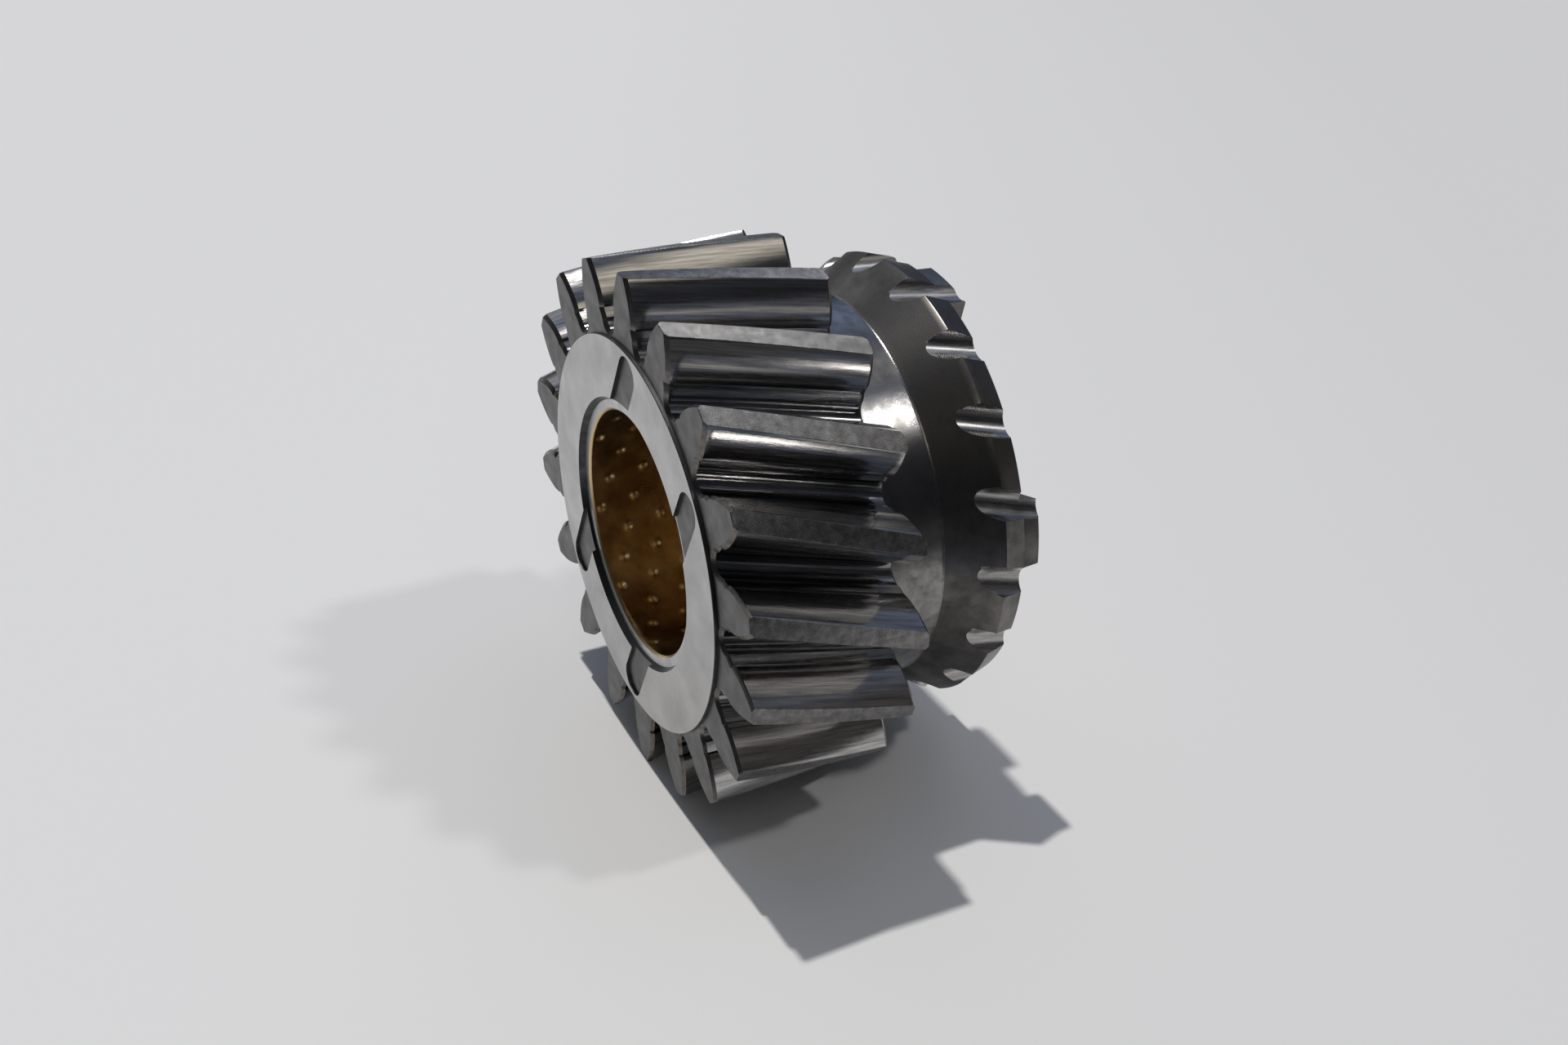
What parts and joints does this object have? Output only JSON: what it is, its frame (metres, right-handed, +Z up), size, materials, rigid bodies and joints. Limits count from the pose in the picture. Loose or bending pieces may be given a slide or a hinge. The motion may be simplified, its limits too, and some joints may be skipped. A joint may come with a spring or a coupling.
{
  "type": "helical clutch gear",
  "caption": "Helical gear with a smooth thrust face, a necked dog clutch ring on its back and a bronze-lined bush in its bore.",
  "frame": {"origin": "on the axis, halfway along the bush's bore", "axes": "+Y along the axis, from the thrust face towards the dog ring; +Z up; the gear lies on its teeth with its axis level"},
  "size_m": [0.11, 0.0668, 0.11],
  "materials": {
    "gear_steel": "hardened steel, ground on the flanks and the thrust face, satin elsewhere",
    "bush_bronze": "steel-backed bronze lining, bored bright, with rows of small oil dimples"
  },
  "bodies": {
    "root": {"gear": "gear_steel", "bush": "bush_bronze"}
  },
  "joints": []
}
